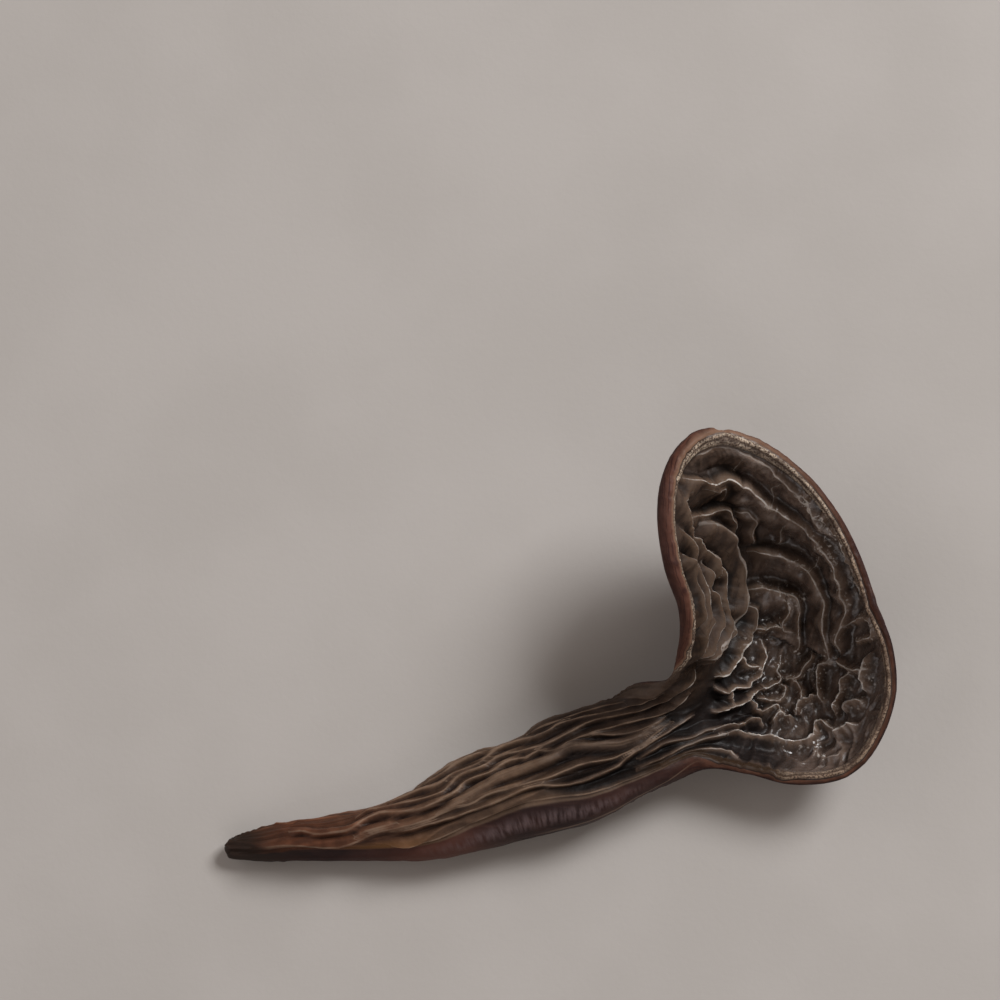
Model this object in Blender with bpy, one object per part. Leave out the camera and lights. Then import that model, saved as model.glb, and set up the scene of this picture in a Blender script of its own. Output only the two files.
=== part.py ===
"""A dried wood ear mushroom: a thick flat stalk that opens into a ruffled, ear-shaped cup.

It grew as one piece, so it is one closed body, a loft. Its upper face runs through sections
from the stalk's tip (station 0) to the cup's far rim (the last station). A section has a left
margin, a middle and a right margin. The outer face lies one flesh thickness below the upper
face, a rounded lip joins the two all round, and folds are raised on the upper face.

Lengths here are millimetres; the mesh is made in metres. +Z is up, and the origin is on the
flat patch under the cup's belly, where the mushroom rests.
"""

from collections import namedtuple

import bmesh
import bpy
import numpy as np

NAME = "fruiting_body"
METRES_PER_MM = 0.001

# Place v across a section is -1 at the left margin, 0 in the middle and 1 at the right margin.
# flesh is the thickness in the middle, left_lip and right_lip the thickness at each margin, and
# flank is how far the body stands out beyond its right margin.
Section = namedtuple("Section", "left middle right flesh left_lip right_lip flank")
SECTIONS = [
    Section((-84.5, -32.0, 3.5), (-85.0, -33.0, 3.8), (-84.5, -34.5, 3.5), 2.8, 2.4, 2.4, 0.9),
    Section((-81.0, -30.5, 3.5), (-81.0, -33.0, 5.2), (-80.5, -34.5, 4.0), 4.4, 3.0, 3.0, 1.4),
    Section((-74.0, -29.0, 4.0), (-73.0, -32.0, 7.0), (-72.5, -34.0, 5.0), 6.0, 3.8, 4.0, 2.2),
    Section((-65.0, -27.5, 4.0), (-64.0, -31.0, 8.0), (-62.5, -34.0, 6.0), 8.0, 4.2, 4.6, 2.2),
    Section((-57.5, -25.0, 4.5), (-55.5, -28.5, 9.0), (-54.5, -33.0, 7.5), 9.4, 4.8, 6.4, 3.2),
    Section((-50.0, -20.0, 5.0), (-47.5, -25.5, 9.5), (-46.0, -29.0, 9.5), 9.6, 5.2, 8.4, 5.7),
    Section((-41.5, -17.0, 5.5), (-39.0, -22.0, 10.0), (-36.5, -26.0, 10.5), 9.6, 5.4, 8.8, 6.2),
    Section((-33.0, -13.0, 6.5), (-29.5, -18.5, 10.0), (-28.0, -25.0, 10.5), 9.0, 6.0, 7.4, 4.6),
    Section((-24.8, -10.8, 8.8), (-20.5, -16.0, 9.5), (-19.0, -22.0, 10.0), 8.0, 4.4, 5.0, 2.8),
    Section((-16.0, -9.8, 15.0), (-12.5, -13.5, 8.0), (-11.0, -19.5, 9.0), 6.8, 1.8, 2.4, 0.8),
    Section((-13.0, -4.8, 23.0), (-7.0, -9.5, 5.8), (-3.5, -20.5, 9.0), 5.6, 2.3, 1.9, 0.6),
    Section((-13.0, 1.0, 28.5), (-4.0, -5.5, 4.2), (3.2, -22.3, 9.5), 4.6, 2.3, 1.8, 0.6),
    Section((-15.0, 7.5, 31.0), (-2.0, -1.0, 3.4), (10.3, -21.8, 11.0), 4.2, 2.6, 1.7, 0.6),
    Section((-16.0, 15.0, 32.0), (0.5, 4.5, 4.0), (14.6, -18.0, 13.0), 4.0, 2.6, 1.7, 0.6),
    Section((-15.0, 21.5, 31.5), (2.5, 10.0, 7.2), (17.3, -11.0, 15.0), 3.6, 2.5, 1.7, 0.6),
    Section((-12.0, 26.0, 30.0), (6.0, 14.5, 13.3), (16.8, -3.9, 17.0), 2.9, 2.4, 1.7, 0.6),
    Section((-7.8, 27.6, 28.0), (6.0, 19.5, 22.0), (14.2, 2.6, 18.5), 1.8, 2.2, 1.7, 0.6),
]
LAST_STATION = len(SECTIONS) - 1
CUP_STATION = 8.5  # about where the stalk opens into the cup

# Half a section is drawn as a mix of a straight wall and a quarter sine, in this share.
ROUNDNESS = 0.5
# In the stalk the flesh hangs straight down from the upper face, in the cup square to it.
STALK_HANG = 0.8
LIP_BULGE = 1.1  # how far the lip stands out beyond the left margin

# A fold is a crest line on the upper face, given by points (station, place across). The
# stalk's run to its tip and the cup's run clockwise seen from above.
STALK_RIDGES = [
    [(9.1, -0.83), (8.6, -0.68), (8.1, -0.66), (7.4, -0.75), (6.9, -0.71), (6.3, -0.85), (5.7, -0.95)],
    [(9.2, -0.68), (8.8, -0.55), (8.3, -0.46), (7.6, -0.5), (7.0, -0.48), (6.5, -0.6), (5.8, -0.62),
     (5.2, -0.66), (4.5, -0.68), (4.1, -0.85)],
    [(9.6, -0.55), (9.3, -0.4), (8.7, -0.33), (8.2, -0.28), (7.5, -0.28), (6.9, -0.25), (6.4, -0.38),
     (5.8, -0.4), (5.2, -0.46), (4.7, -0.32), (4.1, -0.38), (3.5, -0.58), (3.0, -0.7)],
    [(9.5, -0.32), (8.9, -0.2), (8.1, -0.15), (7.4, -0.1), (6.8, -0.14), (6.2, -0.18), (5.4, -0.24),
     (4.8, -0.1), (4.3, -0.06), (3.7, -0.2), (3.3, -0.36), (2.7, -0.18), (2.1, -0.22), (1.6, -0.5)],
    [(5.9, 0.2), (5.2, 0.2), (4.5, 0.1), (3.9, 0.02), (3.4, 0.1), (2.9, 0.24), (2.4, 0.2), (1.6, 0.1),
     (0.8, 0.05)],
    [(8.5, 0.12), (8.0, 0.2), (7.5, 0.28), (7.1, 0.26), (6.7, 0.32), (6.3, 0.38), (5.8, 0.38),
     (5.0, 0.4), (4.4, 0.32), (3.9, 0.3), (3.2, 0.4), (2.7, 0.52), (2.2, 0.5)],
    [(8.8, 0.05), (8.2, 0.32), (7.7, 0.44), (7.1, 0.52), (6.5, 0.58), (5.8, 0.6), (5.1, 0.6),
     (4.5, 0.52), (3.9, 0.5), (3.3, 0.62)],
    [(9.9, 0.42), (9.3, 0.36), (8.8, 0.42), (8.3, 0.5), (7.6, 0.66), (7.0, 0.72), (6.4, 0.74)],
    [(10.1, 0.66), (9.4, 0.62), (8.8, 0.66), (8.2, 0.74), (7.4, 0.84)],
    [(6.4, 0.76), (5.8, 0.78), (5.0, 0.78), (4.4, 0.7), (3.8, 0.74), (3.2, 0.84)],
]
STALK_BANDS = [
    [(8.9, -0.02), (8.4, 0.0), (8.0, 0.08), (7.6, 0.1), (7.2, -0.0), (6.8, 0.02), (6.4, 0.02),
     (5.9, 0.04), (5.5, 0.06)],
]
RIM_TERRACES = [
    [(14.5, -0.98), (14.8, -0.9), (15.2, -0.87), (15.55, -0.78), (15.7, -0.62), (15.72, -0.45),
     (15.68, -0.3), (15.6, -0.1), (15.5, 0.1), (15.45, 0.25)],
]
TERRACES = [
    [(13.8, -0.98), (13.95, -0.92), (14.1, -0.82), (14.3, -0.72), (14.7, -0.64), (14.85, -0.5),
     (14.9, -0.3), (15.05, -0.15), (15.2, 0.0), (15.2, 0.15), (15.05, 0.3), (14.8, 0.4), (14.5, 0.45),
     (14.1, 0.48), (13.8, 0.5), (13.6, 0.47)],
    [(13.4, -0.3), (13.9, -0.19), (14.2, -0.09), (14.45, 0.03), (14.5, 0.17), (14.3, 0.29),
     (13.9, 0.36), (13.5, 0.44), (13.2, 0.42)],
    [(12.5, -0.23), (13.0, -0.15), (13.3, -0.06), (13.7, 0.06), (13.85, 0.13), (13.7, 0.17),
     (13.4, 0.17), (13.2, 0.2), (12.9, 0.23), (12.5, 0.21)],
]
DRUMS = [
    [(13.1, -0.7), (13.35, -0.6), (13.5, -0.5), (13.45, -0.42), (13.3, -0.35), (13.1, -0.27),
     (12.8, -0.24), (12.4, -0.23), (12.0, -0.23), (11.6, -0.26), (11.2, -0.32), (10.7, -0.44),
     (10.3, -0.58), (9.9, -0.7)],
]
LOBES = [
    [(13.1, -0.82), (13.6, -0.62), (14.05, -0.5), (13.95, -0.43), (13.7, -0.38), (13.4, -0.3)],
    [(13.8, -0.82), (14.2, -0.68), (14.45, -0.62), (14.35, -0.57), (14.0, -0.55)],
    [(14.1, -0.46), (14.4, -0.38), (14.35, -0.3), (14.05, -0.27), (13.85, -0.22)],
    [(12.4, -0.19), (12.6, -0.11), (12.5, -0.07), (12.2, -0.06), (11.8, -0.1), (11.3, -0.15)],
]
PLEATS = [
    [(13.8, -0.84), (13.4, -0.93), (13.1, -0.88), (12.8, -0.82), (12.7, -0.74), (12.6, -0.58),
     (12.5, -0.45), (12.3, -0.38), (12.0, -0.37), (11.6, -0.42), (11.2, -0.5), (10.7, -0.6)],
    [(12.6, -0.68), (12.2, -0.56), (11.8, -0.55), (11.4, -0.56), (11.0, -0.64), (10.5, -0.74),
     (10.0, -0.8), (9.6, -0.76)],
    [(12.9, -0.94), (12.4, -0.8), (12.0, -0.72), (11.6, -0.7), (11.2, -0.74), (10.7, -0.82),
     (10.2, -0.9), (9.6, -0.88)],
    [(12.3, -0.94), (11.9, -0.86), (11.4, -0.85), (10.9, -0.9), (10.4, -0.95)],
    [(12.9, -0.53), (12.6, -0.5), (12.4, -0.44)],
]
NETS = [
    [(12.3, -0.06), (11.8, -0.1), (11.3, -0.15), (11.0, -0.14), (10.7, -0.16), (10.3, -0.23), (9.9, -0.32)],
    [(11.0, -0.14), (11.1, -0.05), (11.2, 0.02), (11.5, 0.1)],
    [(12.4, 0.0), (12.2, 0.03), (11.9, 0.08), (11.5, 0.1), (11.1, 0.09), (10.5, 0.03), (10.1, -0.08),
     (9.7, -0.26)],
    [(13.8, 0.06), (13.5, 0.08), (13.2, 0.08), (12.9, 0.08), (12.9, 0.12), (13.2, 0.19)],
    [(12.2, -0.06), (12.5, 0.01), (12.9, 0.08)],
    [(12.4, 0.17), (12.0, 0.21), (11.8, 0.24), (11.2, 0.19), (10.6, 0.15), (9.9, 0.13), (9.3, 0.04),
     (8.8, 0.02)],
    [(13.3, 0.33), (13.1, 0.34), (12.7, 0.33), (12.4, 0.32), (12.1, 0.27), (11.9, 0.25)],
    [(13.6, 0.48), (13.3, 0.42), (13.0, 0.42), (12.8, 0.45), (12.7, 0.5), (12.6, 0.56)],
    [(13.6, 0.47), (13.7, 0.55), (13.8, 0.62), (14.1, 0.77), (14.3, 0.86)],
    [(13.8, 0.62), (13.5, 0.61), (13.3, 0.62), (13.0, 0.62), (12.7, 0.67)],
    [(14.5, 0.79), (14.2, 0.82), (13.9, 0.84), (13.8, 0.9)],
    [(13.1, 0.72), (13.3, 0.72), (13.5, 0.78), (13.8, 0.88)],
    [(11.8, 0.5), (12.0, 0.45), (12.4, 0.47), (12.7, 0.5)],
    [(10.9, 0.47), (11.1, 0.44), (11.4, 0.42), (11.5, 0.47), (11.8, 0.5)],
    [(9.3, 0.35), (9.9, 0.42), (10.2, 0.39), (10.5, 0.43), (10.9, 0.47)],
    [(9.3, 0.45), (9.8, 0.52), (10.1, 0.57), (10.6, 0.62), (11.2, 0.65), (11.7, 0.69), (12.0, 0.67),
     (12.2, 0.61), (12.3, 0.63), (12.5, 0.71), (12.7, 0.67)],
    [(12.0, 0.67), (11.8, 0.77), (11.9, 0.86), (12.2, 0.88), (12.4, 0.83), (12.5, 0.72)],
    [(12.5, 0.79), (12.8, 0.83), (13.2, 0.9)],
    [(10.7, 0.18), (10.6, 0.27), (10.9, 0.36), (11.3, 0.36), (11.5, 0.42)],
    [(11.9, 0.25), (11.9, 0.32), (11.6, 0.34), (11.2, 0.28), (10.8, 0.21)],
    [(12.1, 0.27), (12.3, 0.34), (12.3, 0.4), (12.0, 0.45)],
    [(10.2, -0.03), (10.0, 0.05), (10.1, 0.13)],
]

# How high a fold stands, how far its flanks reach, and how round its crest is.
FoldShape = namedtuple("FoldShape", "height reach crest")
FOLD_GROUPS = [
    (STALK_RIDGES, FoldShape(1.1, 1.3, 0.35)),
    (STALK_BANDS, FoldShape(1.5, 1.7, 0.5)),
    (RIM_TERRACES, FoldShape(1.4, 2.3, 0.5)),
    (TERRACES, FoldShape(2.1, 2.7, 0.5)),
    (DRUMS, FoldShape(2.1, 2.9, 0.6)),
    (LOBES, FoldShape(1.4, 2.1, 0.4)),
    (PLEATS, FoldShape(1.6, 2.0, 0.4)),
    (NETS, FoldShape(1.9, 2.4, 0.45)),
]
FOLD_SEAT = 0.45  # how deep the ground between the folds lies below the smooth face
PLAIN_MARGIN = 1.9  # the folds fade out over this distance from the margin
CREST_STEP = 1.2  # spacing of the points read along a crest line

# The mesh: steps along and across the upper face, both even, and steps round the lip.
# The outer face has half as many each way.
STEPS_ALONG = 68
STEPS_ACROSS = 48
STEPS_ROUND_LIP = 4
STALK_SHARE = 0.34  # of the steps along; the cup, with finer folds, has the rest

SKIN_COLOUR = (0.055, 0.030, 0.022)
SKIN_ROUGHNESS = 0.45


def spline(rows, station):
    """Catmull-Rom curve through rows, read at each station."""
    rows = np.asarray(rows, float)
    padded = np.vstack([2 * rows[0] - rows[1], rows, 2 * rows[-1] - rows[-2]])
    first = np.clip(np.floor(station).astype(int), 0, len(rows) - 2)
    t = (station - first)[..., None]
    a, b, c, d = (padded[first + k] for k in range(4))
    return 0.5 * (
        2 * b
        + (c - a) * t
        + (2 * a - 5 * b + 4 * c - d) * t**2
        + (3 * b - a - 3 * c + d) * t**3
    )


def upper_face(station, across):
    """Points of the smooth upper face."""
    left = spline([s.left for s in SECTIONS], station)
    middle = spline([s.middle for s in SECTIONS], station)
    right = spline([s.right for s in SECTIONS], station)
    v = across[..., None]
    sideways = v * (1 - ROUNDNESS) + np.sin(np.pi / 2 * v) * ROUNDNESS
    rise = v * v * (1 - ROUNDNESS) + (1 - np.cos(np.pi / 2 * v)) * ROUNDNESS
    lift = np.concatenate([sideways**2, sideways**2, rise], axis=-1)
    return middle + ((left + right) / 2 - middle) * lift + (right - left) / 2 * sideways


def smoothstep(x):
    x = np.clip(x, 0, 1)
    return x * x * (3 - 2 * x)


def unit(vectors):
    return vectors / np.linalg.norm(vectors, axis=-1, keepdims=True)


def blurred(grid, times):
    """The grid's values averaged with their neighbours' along both of its ways."""
    for _ in range(times):
        for axis in (0, 1):
            pad = [(1, 1) if k == axis else (0, 0) for k in range(grid.ndim)]
            wide = np.pad(grid, pad, mode="edge")
            count = grid.shape[axis]
            before = np.take(wide, range(count), axis)
            after = np.take(wide, range(2, count + 2), axis)
            grid = (before + 2 * grid + after) / 4
    return grid


def face_normals(points):
    """Normals of a grid of points, out of the upper face and evened a little."""
    along = np.gradient(points, axis=0)
    across = np.gradient(points, axis=1)
    return unit(blurred(unit(np.cross(across, along)), 2))


def flesh_thickness(station, across):
    """Thickness below each point: the flesh in the middle, easing to each margin's lip."""
    rows = spline([(s.flesh, s.left_lip, s.right_lip) for s in SECTIONS], station)
    lip = np.where(across < 0, rows[..., 1], rows[..., 2])
    return rows[..., 0] + (lip - rows[..., 0]) * smoothstep(np.abs(across))


def distance_to_line(points, line):
    """Distance from each point to the nearest place on a line of straight steps."""
    nearest = np.full(points.shape[:-1], np.inf)
    for start, end in zip(line[:-1], line[1:]):
        step = end - start
        along = np.clip((points - start) @ step / (step @ step), 0, 1)
        gap = np.linalg.norm(points - start - along[..., None] * step, axis=-1)
        nearest = np.minimum(nearest, gap)
    return nearest


def crest_line(fold):
    """A fold's crest as points on the upper face, closely spaced on a smooth curve."""
    rough = upper_face(*np.array(fold).T)
    length = np.linalg.norm(np.diff(rough, axis=0), axis=1).sum()
    count = max(4, int(length / CREST_STEP))
    path = spline(fold, np.linspace(0, len(fold) - 1, count))
    return upper_face(path[:, 0], path[:, 1])


def fold_heights(points):
    """How high the folds stand at each point. Where folds meet, their crests merge."""
    total = np.zeros(points.shape[:-1])
    for folds, shape in FOLD_GROUPS:
        for fold in folds:
            gap = distance_to_line(points, crest_line(fold))
            gap = np.hypot(gap, shape.crest) - shape.crest
            flank = np.clip(1 - gap / shape.reach, 0, 1)
            total += (shape.height * flank**2) ** 4
    return total**0.25


def edge_ring(grid):
    """A grid's border values in order: left side, far side, right side back, near side back."""
    return np.concatenate([grid[:-1, 0], grid[-1, :-1], grid[:0:-1, -1], grid[0, :0:-1]])


def folded_face(points, normals):
    """The upper face with its folds, which fade out towards the margin."""
    margin = edge_ring(points)
    from_margin = distance_to_line(points, np.vstack([margin, margin[:1]]))
    fade = smoothstep(from_margin / PLAIN_MARGIN)
    height = (fold_heights(points) - FOLD_SEAT) * fade
    return points + normals * height[..., None]


def outer_face(points, normals, station, across):
    """The outer face, one thickness below the upper one and flat where it meets the ground."""
    up = np.array([0.0, 0.0, 1.0])
    hang = STALK_HANG * (1 - smoothstep((station - CUP_STATION + 1.5) / 2))
    away = unit(normals * (1 - hang[..., None]) + up * hang[..., None])
    outer = points - away * flesh_thickness(station, across)[..., None]
    outer[..., 2] = np.maximum(outer[..., 2], 0)
    return outer


def lip_bulge(station, across):
    """How far the lip stands out, read on the upper face's border."""
    flank = spline([(s.flank,) for s in SECTIONS], station)[..., 0]
    return LIP_BULGE + (flank - LIP_BULGE) * smoothstep((across + 1) / 2)


def lip_rows(inner, outer, bulge):
    """Rows of points round the lip, from the upper face's margin to just before the outer's."""
    middle = (inner + outer) / 2
    half = (inner - outer) / 2
    along = np.roll(inner, -1, axis=0) - np.roll(inner, 1, axis=0)
    outward = unit(np.cross(half, along))
    for _ in range(2):
        outward = unit(np.roll(outward, 1, axis=0) + 2 * outward + np.roll(outward, -1, axis=0))
    stand_out = outward * bulge[:, None]
    rows = []
    for step in range(1, STEPS_ROUND_LIP):
        turn = np.pi * step / STEPS_ROUND_LIP
        row = middle + half * np.cos(turn) + stand_out * np.sin(turn)
        row[:, 2] = np.maximum(row[:, 2], 0)
        rows.append(row)
    return rows


def grid_places():
    """Station and place across of each point of the upper grid."""
    share = np.linspace(0, 1, STEPS_ALONG + 1)
    stations = np.interp(share, [0, STALK_SHARE, 1], [0, CUP_STATION, LAST_STATION])
    across = np.linspace(-1, 1, STEPS_ACROSS + 1)
    return np.meshgrid(stations, across, indexing="ij")


def grid_faces(ids):
    """Four-sided faces of a grid of point numbers, facing out of the upper side."""
    return [
        (ids[i, j], ids[i, j + 1], ids[i + 1, j + 1], ids[i + 1, j])
        for i in range(ids.shape[0] - 1)
        for j in range(ids.shape[1] - 1)
    ]


def body_mesh():
    """The points, in metres, and the faces of the closed body."""
    station, across = grid_places()
    smooth = upper_face(station, across)
    normals = face_normals(smooth)
    upper = folded_face(smooth, normals)
    outer = outer_face(smooth, normals, station, across)
    bulge = edge_ring(lip_bulge(station, across))
    rows = lip_rows(edge_ring(upper), edge_ring(outer), bulge)

    half_outer = outer[::2, ::2]
    points = np.vstack([upper.reshape(-1, 3), *rows, half_outer.reshape(-1, 3)])
    upper_ids = np.arange(station.size).reshape(station.shape)
    ring_size = len(rows[0])
    row_ids = [station.size + k * ring_size + np.arange(ring_size) for k in range(len(rows))]
    outer_start = station.size + ring_size * len(rows)
    outer_ids = outer_start + np.arange(half_outer[..., 0].size).reshape(half_outer.shape[:2])

    faces = grid_faces(upper_ids)
    faces += [face[::-1] for face in grid_faces(outer_ids)]
    faces += lip_faces([edge_ring(upper_ids), *row_ids], edge_ring(outer_ids))
    return points * METRES_PER_MM, faces


def lip_faces(rings, last):
    """Faces between rings of equal size, then to the last ring, which has half as many points."""
    faces = []
    size = len(rings[0])
    for near, far in zip(rings[:-1], rings[1:]):
        for k in range(size):
            after = (k + 1) % size
            faces.append((near[k], near[after], far[after], far[k]))
    near = rings[-1]
    for k in range(0, size, 2):
        start, end = last[k // 2], last[(k // 2 + 1) % len(last)]
        faces.append((near[k], near[k + 1], start))
        faces.append((near[k + 1], end, start))
        faces.append((near[k + 1], near[(k + 2) % size], end))
    return faces


def skin_material():
    """Dark reddish brown, gelatinous when it grew and dried to a dull gloss."""
    material = bpy.data.materials.new("dried_flesh")
    material.use_nodes = True
    shader = material.node_tree.nodes["Principled BSDF"]
    shader.inputs["Base Color"].default_value = (*SKIN_COLOUR, 1)
    shader.inputs["Roughness"].default_value = SKIN_ROUGHNESS
    shader.inputs["Metallic"].default_value = 0
    return material


def fruiting_body(collection):
    points, faces = body_mesh()
    mesh = bpy.data.meshes.new(NAME)
    work = bmesh.new()
    verts = [work.verts.new(point) for point in points]
    for face in faces:
        work.faces.new([verts[k] for k in face])
    bmesh.ops.recalc_face_normals(work, faces=work.faces)
    work.to_mesh(mesh)
    work.free()
    mesh.shade_smooth()
    mesh.materials.append(skin_material())
    collection.objects.link(bpy.data.objects.new(NAME, mesh))


def main():
    for item in list(bpy.data.objects):
        bpy.data.objects.remove(item, do_unlink=True)
    collection = bpy.data.collections.new("wood_ear_mushroom")
    bpy.context.scene.collection.children.link(collection)
    fruiting_body(collection)


main()
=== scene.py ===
"""The looks of a dried wood ear mushroom: its ruffled gelatinous upper face, the tan crust along
its margin, its reddish-brown lip and outer skin, and a plain pale floor under soft side light.

The body is one loft, as in the solid that it stands for: an upper face through sections from
the stalk's tip (station 0) to the cup's far rim, an outer face one flesh thickness below it, and
a rounded lip all round. Lengths here are millimetres unless a name says otherwise.
"""

import math
from collections import namedtuple

import bpy
import numpy as np
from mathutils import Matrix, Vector, noise


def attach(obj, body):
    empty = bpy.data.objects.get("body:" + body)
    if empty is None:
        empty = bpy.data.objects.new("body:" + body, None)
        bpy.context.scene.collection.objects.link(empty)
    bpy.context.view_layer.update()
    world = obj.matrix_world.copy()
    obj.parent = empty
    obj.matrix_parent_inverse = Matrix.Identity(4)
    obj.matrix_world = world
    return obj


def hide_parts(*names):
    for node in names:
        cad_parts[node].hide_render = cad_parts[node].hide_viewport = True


METRES_PER_MM = 0.001

# Place v across a section is -1 at the left margin, 0 in the middle and 1 at the right margin.
# flesh is the thickness in the middle, left_lip and right_lip the thickness at each margin, and
# flank is how far the body stands out beyond its right margin.
Section = namedtuple("Section", "left middle right flesh left_lip right_lip flank")
SECTIONS = [
    Section((-84.5, -32, 3.5), (-85, -33, 3.8), (-84.5, -34.5, 3.5), 2.8, 2.4, 2.4, 0.9),
    Section((-81, -30.5, 3.5), (-81, -33, 5.2), (-80.5, -34.5, 4), 4.4, 3, 3, 1.4),
    Section((-74, -29, 4), (-73, -32, 7), (-72.5, -34, 5), 6, 3.8, 4, 2.2),
    Section((-65, -27.5, 4), (-64, -31, 8), (-62.5, -34, 6), 8, 4.2, 4.6, 2.2),
    Section((-57.5, -25, 4.5), (-55.5, -28.5, 9), (-54.5, -33, 7.5), 9.4, 4.8, 6.4, 3.2),
    Section((-50, -20, 5), (-47.5, -25.5, 9.5), (-46, -29, 9.5), 9.6, 5.2, 8.4, 5.7),
    Section((-41.5, -17, 5.5), (-39, -22, 10), (-36.5, -26, 10.5), 9.6, 5.4, 8.8, 6.2),
    Section((-33, -13, 6.5), (-29.5, -18.5, 10), (-28, -25, 10.5), 9, 6, 7.4, 4.6),
    Section((-24.8, -10.8, 8.8), (-20.5, -16, 9.5), (-19, -22, 10), 8, 4.4, 5, 2.8),
    Section((-16, -9.8, 15), (-12.5, -13.5, 8), (-11, -19.5, 9), 6.8, 1.8, 2.4, 0.8),
    Section((-13, -4.8, 23), (-7, -9.5, 5.8), (-3.5, -20.5, 9), 5.6, 2.3, 1.9, 0.6),
    Section((-13, 1, 28.5), (-4, -5.5, 4.2), (3.2, -22.3, 9.5), 4.6, 2.3, 1.8, 0.6),
    Section((-15, 7.5, 31), (-2, -1, 3.4), (10.3, -21.8, 11), 4.2, 2.6, 1.7, 0.6),
    Section((-16, 15, 32), (0.5, 4.5, 4), (14.6, -18, 13), 4, 2.6, 1.7, 0.6),
    Section((-15, 21.5, 31.5), (2.5, 10, 7.2), (17.3, -11, 15), 3.6, 2.5, 1.7, 0.6),
    Section((-12, 26, 30), (6, 14.5, 13.3), (16.8, -3.9, 17), 2.9, 2.4, 1.7, 0.6),
    Section((-7.8, 27.6, 28), (6, 19.5, 22), (14.2, 2.6, 18.5), 1.8, 2.2, 1.7, 0.6),
]
LAST_STATION = len(SECTIONS) - 1
CUP_OPENS = (7.5, 10)  # stations between which the stalk opens into the cup
ROUNDNESS = 0.5  # half a section mixes a straight wall and a quarter sine, in this share
STALK_HANG = 0.8  # in the stalk the flesh hangs down from the upper face, in the cup square to it
HANG_ENDS = (9, 7)  # and between these stations it turns from the one to the other
LIP_BULGE = 1.1  # how far the lip stands out beyond the left margin

# A fold's crest rises to height. Its flanks reach so far to the left and right of the way the
# line runs, hollow at bow 0, straight at 0.5 and bowed out at 1. Its top is rounded over crest and
# leans to the left by a share of its height, its line wavers by so much, tint is how strong its
# crest's painted highlight is, on the stalk partly the crest's own tan, and gathers is how strongly
# the flanks are puckered square to the line.
FoldShape = namedtuple(
    "FoldShape", "height left_reach right_reach left_bow right_bow crest lean waver tint gathers"
)
STALK_RIDGE = FoldShape(1.15, 0.75, 1.3, 0.3, 0.7, 0.12, 0.15, 0.08, 0.75, 0.0)
STALK_BAND = FoldShape(1.4, 1.0, 1.2, 0.9, 0.9, 0.3, 0.05, 0.08, 0.3, 0.1)
RIM_TERRACE = FoldShape(1.5, 1.4, 4.4, 0.15, 0.95, 0.06, 0.1, 0.2, 0.5, 0.15)
TERRACE = FoldShape(2.8, 1.5, 4.6, 0.25, 0.95, 0.06, 0.2, 0.18, 0.8, 0.08)
DRUM = FoldShape(2.7, 1.2, 3.6, 0.3, 1.0, 0.3, 0.2, 0.12, 0.3, 0.05)
LOBE = FoldShape(1.6, 1.1, 2.2, 0.3, 0.8, 0.08, 0.15, 0.25, 0.45, 0.2)
CRUMPLE = FoldShape(1.2, 1.1, 1.1, 0.1, 0.1, 0.03, 0.0, 0.3, 1.0, 0.4)
CREASE = FoldShape(0.7, 1.4, 1.4, 0.1, 0.1, 0.05, 0.0, 0.3, 0.3, 0.3)
PLEAT = FoldShape(2.1, 0.9, 1.9, 0.2, 0.7, 0.08, 0.2, 0.2, 0.4, 0.12)
NET = FoldShape(2.3, 1.7, 1.7, 0.0, 0.0, 0.03, 0.1, 0.3, 1.0, 0.35)

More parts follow.
